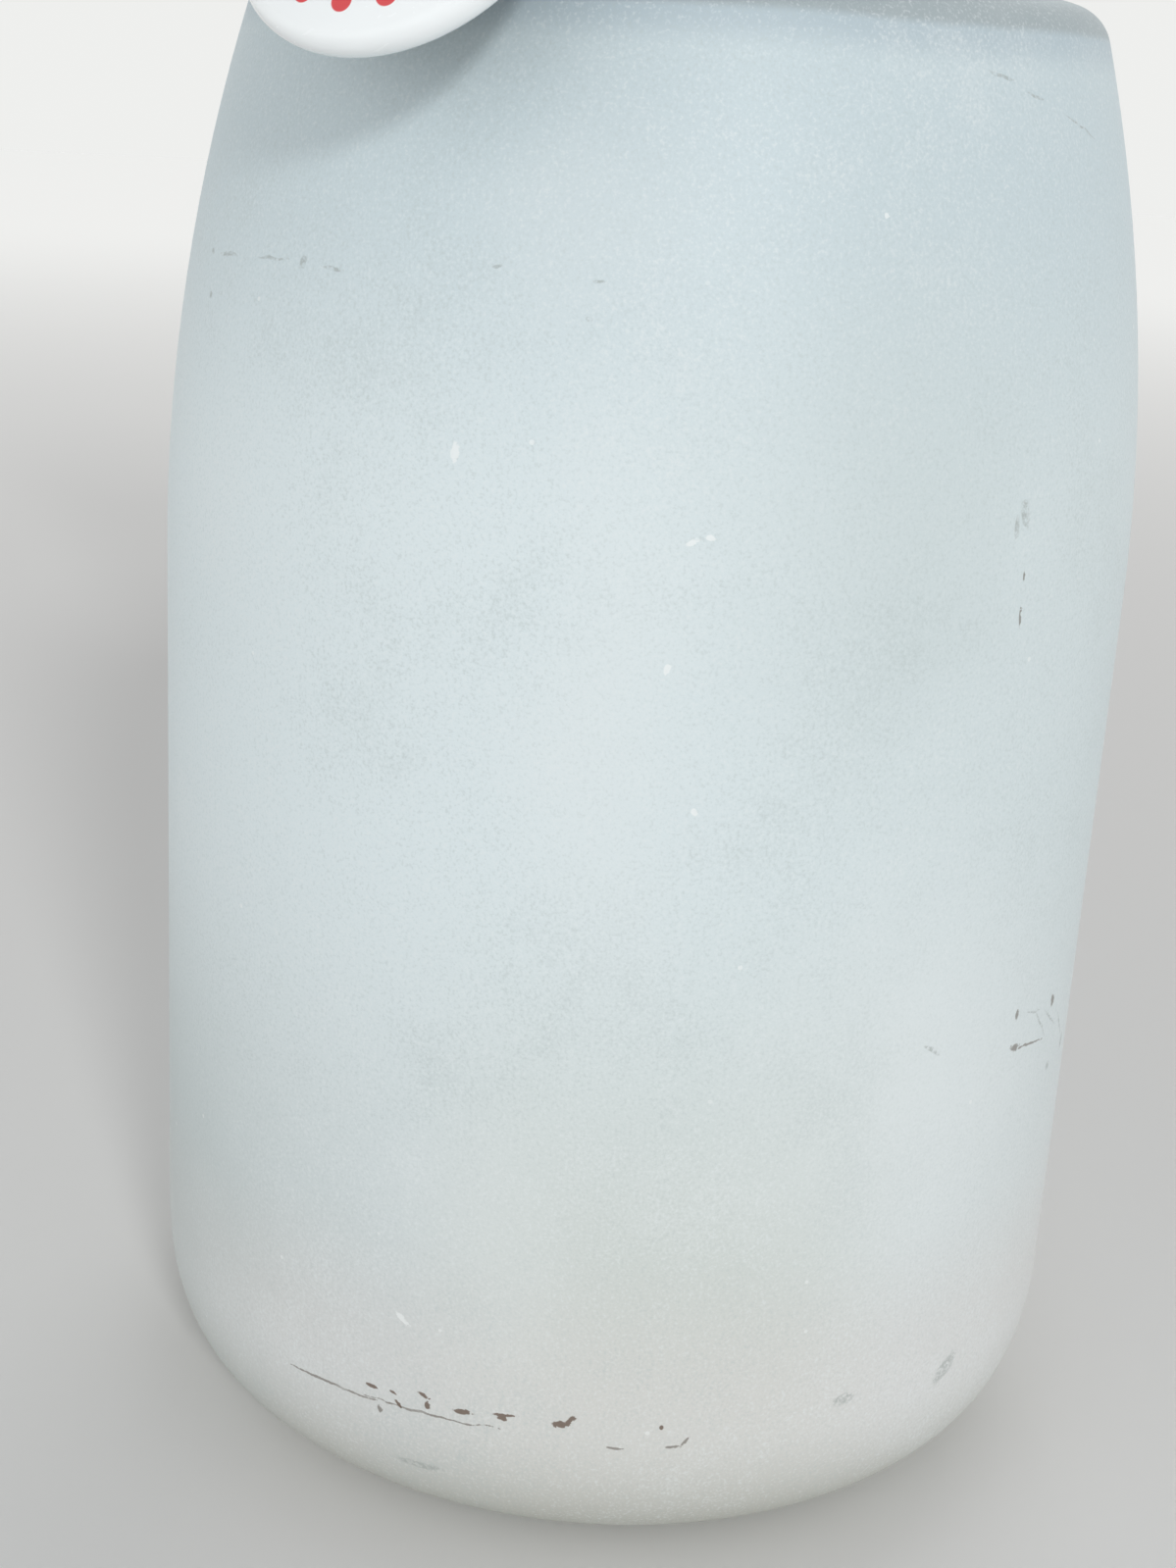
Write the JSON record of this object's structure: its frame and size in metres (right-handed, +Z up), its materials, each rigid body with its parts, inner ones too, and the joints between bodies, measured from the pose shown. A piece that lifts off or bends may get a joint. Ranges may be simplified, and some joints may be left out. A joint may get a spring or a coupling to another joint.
{
  "type": "volumetric flask",
  "caption": "Frosted glass volumetric flask: barrel body on a rounded foot, long marked neck, sleeved ground-joint stopper, and a round dotted badge on an arm hinged to a neck collar.",
  "frame": {"origin": "centre of the flat base that the flask stands on", "axes": "+Z up along the flask's axis, -Y towards the front, the badge hangs over the shoulder front left"},
  "size_m": [0.127, 0.131, 0.3494],
  "materials": {
    "frosted_glass": "pale blue-green glass, acid frosted to a satin face",
    "stopper_glass": "pressed clear glass with a ground plug",
    "sleeve_plastic": "white waxy plastic",
    "liner_rubber": "matt black rubber",
    "collar_steel": "brushed stainless strip",
    "fastener_steel": "bright stainless",
    "badge_white": "glossy white face with a plain ring of small red dots",
    "badge_tinplate": "tinplate",
    "badge_wire": "bright spring wire"
  },
  "bodies": {
    "flask": {"flask_body": "frosted_glass", "collar_liner": "liner_rubber", "neck_collar": "collar_steel", "collar_screw": "fastener_steel", "collar_nut": "fastener_steel", "hinge_pin": "fastener_steel"},
    "sleeve": {"joint_sleeve": "sleeve_plastic"},
    "stopper": {"stopper": "stopper_glass"},
    "hanger": {"hanger_arm": "collar_steel", "arm_bumper": "liner_rubber"},
    "badge": {"badge_shell": "badge_white", "badge_collet": "badge_tinplate", "badge_pin": "badge_wire"}
  },
  "joints": [
    {"name": "stopper_lift", "type": "slide", "parent": "flask", "child": "sleeve", "axis": [0, 0, 1], "range_m": [0, 0.045]},
    {"name": "stopper_turn", "type": "hinge", "parent": "sleeve", "child": "stopper", "pos_m": [0, 0, 0.33], "axis": [0, 0, 1], "continuous": true},
    {"name": "hanger_swing", "type": "hinge", "parent": "flask", "child": "hanger", "pos_m": [-0.01036, -0.01884, 0.21197], "axis": [-0.8763, 0.4818, 0], "range_deg": [0, 90]},
    {"name": "badge_swing", "type": "hinge", "parent": "hanger", "child": "badge", "pos_m": [-0.02739, -0.04983, 0.19765], "axis": [-0.8763, 0.4818, 0], "range_deg": [0, 22]}
  ]
}
